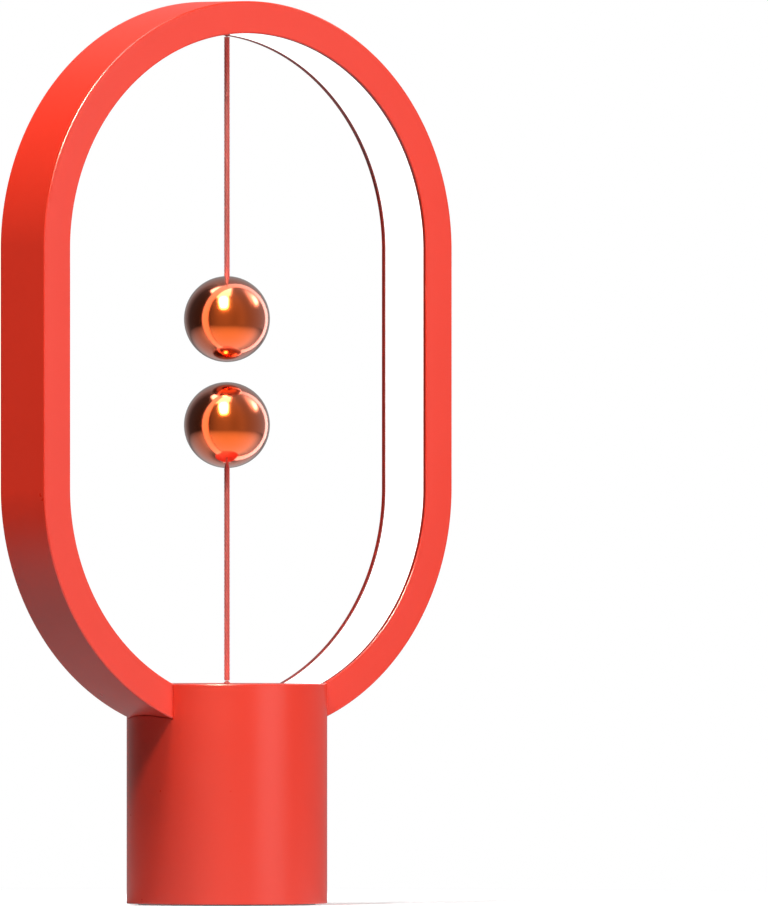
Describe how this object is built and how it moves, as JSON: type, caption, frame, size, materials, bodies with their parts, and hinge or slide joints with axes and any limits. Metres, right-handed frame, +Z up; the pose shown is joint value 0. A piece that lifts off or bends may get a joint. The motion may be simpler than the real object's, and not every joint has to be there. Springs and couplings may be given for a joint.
{
  "type": "magnetic balance lamp",
  "caption": "Table lamp: a tall oval light ring in a round base, with magnetic balls on cords that hold each other up and pull its switch, and a charging lead.",
  "frame": {"origin": "middle of the foot's underside, on the round base's axis", "axes": "+Z up, +X across the ring's plane, the ring's front face looks along -Y and the lead leaves towards +Y"},
  "size_m": [0.206, 0.1423, 0.375],
  "materials": {
    "red_plastic": "satin",
    "red_cord": "braided",
    "milky_plastic": "milky, lit from behind",
    "white_plastic": "satin",
    "copper_plate": "polished copper plating",
    "bright_steel": "plated",
    "dull_steel": "dull",
    "brass_sheet": "plain",
    "black_rubber": "dull",
    "black_plastic": "satin",
    "circuit_board": "lacquered",
    "led_strip_white": "plain"
  },
  "bodies": {
    "lamp_body": {"ballast": "dull_steel", "base_housing": "red_plastic", "base_top_cap": "red_plastic", "board_standoff_back_left": "brass_sheet", "board_standoff_back_right": "brass_sheet", "board_standoff_front_left": "brass_sheet", "board_standoff_front_right": "brass_sheet", "bottom_cover": "black_plastic", "bottom_screw_1": "dull_steel", "bottom_screw_2": "dull_steel", "bottom_screw_3": "dull_steel", "bottom_screw_4": "dull_steel", "bracket_screw_left": "dull_steel", "bracket_screw_right": "dull_steel", "charging_lead": "white_plastic", "coil_tie": "black_plastic", "cord_grommet": "red_plastic", "cord_hanger": "white_plastic", "diffuser": "milky_plastic", "driver_board": "circuit_board", "foot_pad": "black_rubber", "frame_bracket": "dull_steel", "frame_nut_plate": "bright_steel", "frame_rear_cover": "red_plastic", "frame_screw_left": "dull_steel", "frame_screw_right": "dull_steel", "frame_shell": "red_plastic", "lead_coil": "white_plastic", "lead_tail": "white_plastic", "led_strip": "led_strip_white", "led_wire_back": "black_plastic", "led_wire_front": "red_plastic", "switch_contact_left": "brass_sheet", "switch_contact_right": "brass_sheet", "switch_housing": "black_plastic", "switch_spring": "bright_steel", "usb_a_collar": "white_plastic", "usb_a_overmould": "white_plastic", "usb_a_shell": "bright_steel", "usb_a_tongue": "white_plastic", "usb_c_collar": "white_plastic", "usb_c_overmould": "white_plastic", "usb_c_shell": "bright_steel", "usb_socket": "bright_steel", "usb_socket_tongue": "black_plastic"},
    "upper_swivel": {"upper_bead": "red_cord"},
    "upper_ball": {"upper_cord": "red_cord", "upper_ball_shell": "copper_plate", "upper_magnet": "bright_steel", "upper_cord_stop": "brass_sheet"},
    "pull_rod": {"pull_rod": "white_plastic"},
    "lower_swivel": {"lower_bead": "red_cord"},
    "lower_tether": {"lower_cord": "red_cord"},
    "lower_ball": {"lower_ball_shell": "copper_plate", "lower_magnet": "bright_steel", "lower_cord_stop": "brass_sheet"}
  },
  "joints": [
    {"name": "upper_swing_side", "type": "hinge", "parent": "lamp_body", "child": "upper_swivel", "pos_m": [0, 0, 0.3616], "axis": [0, 1, 0], "range_deg": [-35, 35]},
    {"name": "upper_swing_front", "type": "hinge", "parent": "upper_swivel", "child": "upper_ball", "pos_m": [0, 0, 0.3616], "axis": [1, 0, 0], "range_deg": [-45, 45]},
    {"name": "switch_pull", "type": "slide", "parent": "lamp_body", "child": "pull_rod", "axis": [0, 0, 1], "range_m": [-0.0015, 0], "stiffness_N_per_m": 40, "springref_m": -0.0035, "deforming": ["switch_spring"]},
    {"name": "lower_swing_side", "type": "hinge", "parent": "pull_rod", "child": "lower_swivel", "pos_m": [0, 0, 0.0917], "axis": [0, 1, 0], "range_deg": [-25, 25], "stiffness_Nm_per_rad": 0.12},
    {"name": "lower_swing_front", "type": "hinge", "parent": "lower_swivel", "child": "lower_tether", "pos_m": [0, 0, 0.0917], "axis": [1, 0, 0], "range_deg": [-25, 25], "stiffness_Nm_per_rad": 0.12},
    {"name": "lower_ball_lift", "type": "slide", "parent": "lower_tether", "child": "lower_ball", "axis": [0, 0, 1], "range_m": [-0.083, 0], "stiffness_N_per_m": 4, "springref_m": 0.2, "deforming": ["lower_cord"]}
  ],
  "couplings": [
    {"joint": "switch_pull", "follows": "lower_ball_lift", "ratio": 0.018}
  ]
}
